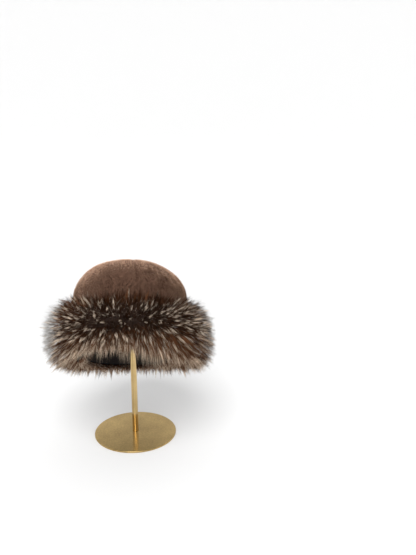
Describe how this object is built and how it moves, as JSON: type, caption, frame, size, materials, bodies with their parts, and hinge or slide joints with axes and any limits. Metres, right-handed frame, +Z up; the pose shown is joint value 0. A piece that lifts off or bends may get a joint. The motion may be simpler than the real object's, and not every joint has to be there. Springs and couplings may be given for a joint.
{
  "type": "faux fur bucket hat on display stand",
  "caption": "Domed hat of short sheared pile with a deep long-haired fur cuff and a dark cloth lining, hung tipped back on a slim brass post with a flat round base.",
  "frame": {"origin": "centre of the stand base's underside, on the post's axis", "axes": "+Z up along the post, -Y towards the hat's raised front, +X to the hat's left as worn"},
  "size_m": [0.298, 0.2997, 0.3328],
  "materials": {
    "brass": "satin polished",
    "sheared_pile": "short dense brown pile",
    "lining_cloth": "black woven lining",
    "long_fur": "long dark brown hair with pale tips"
  },
  "bodies": {
    "root": {"stand_base": "brass", "stand_post": "brass", "crown": "sheared_pile", "lining": "lining_cloth", "fur_brim": "long_fur"}
  },
  "joints": []
}
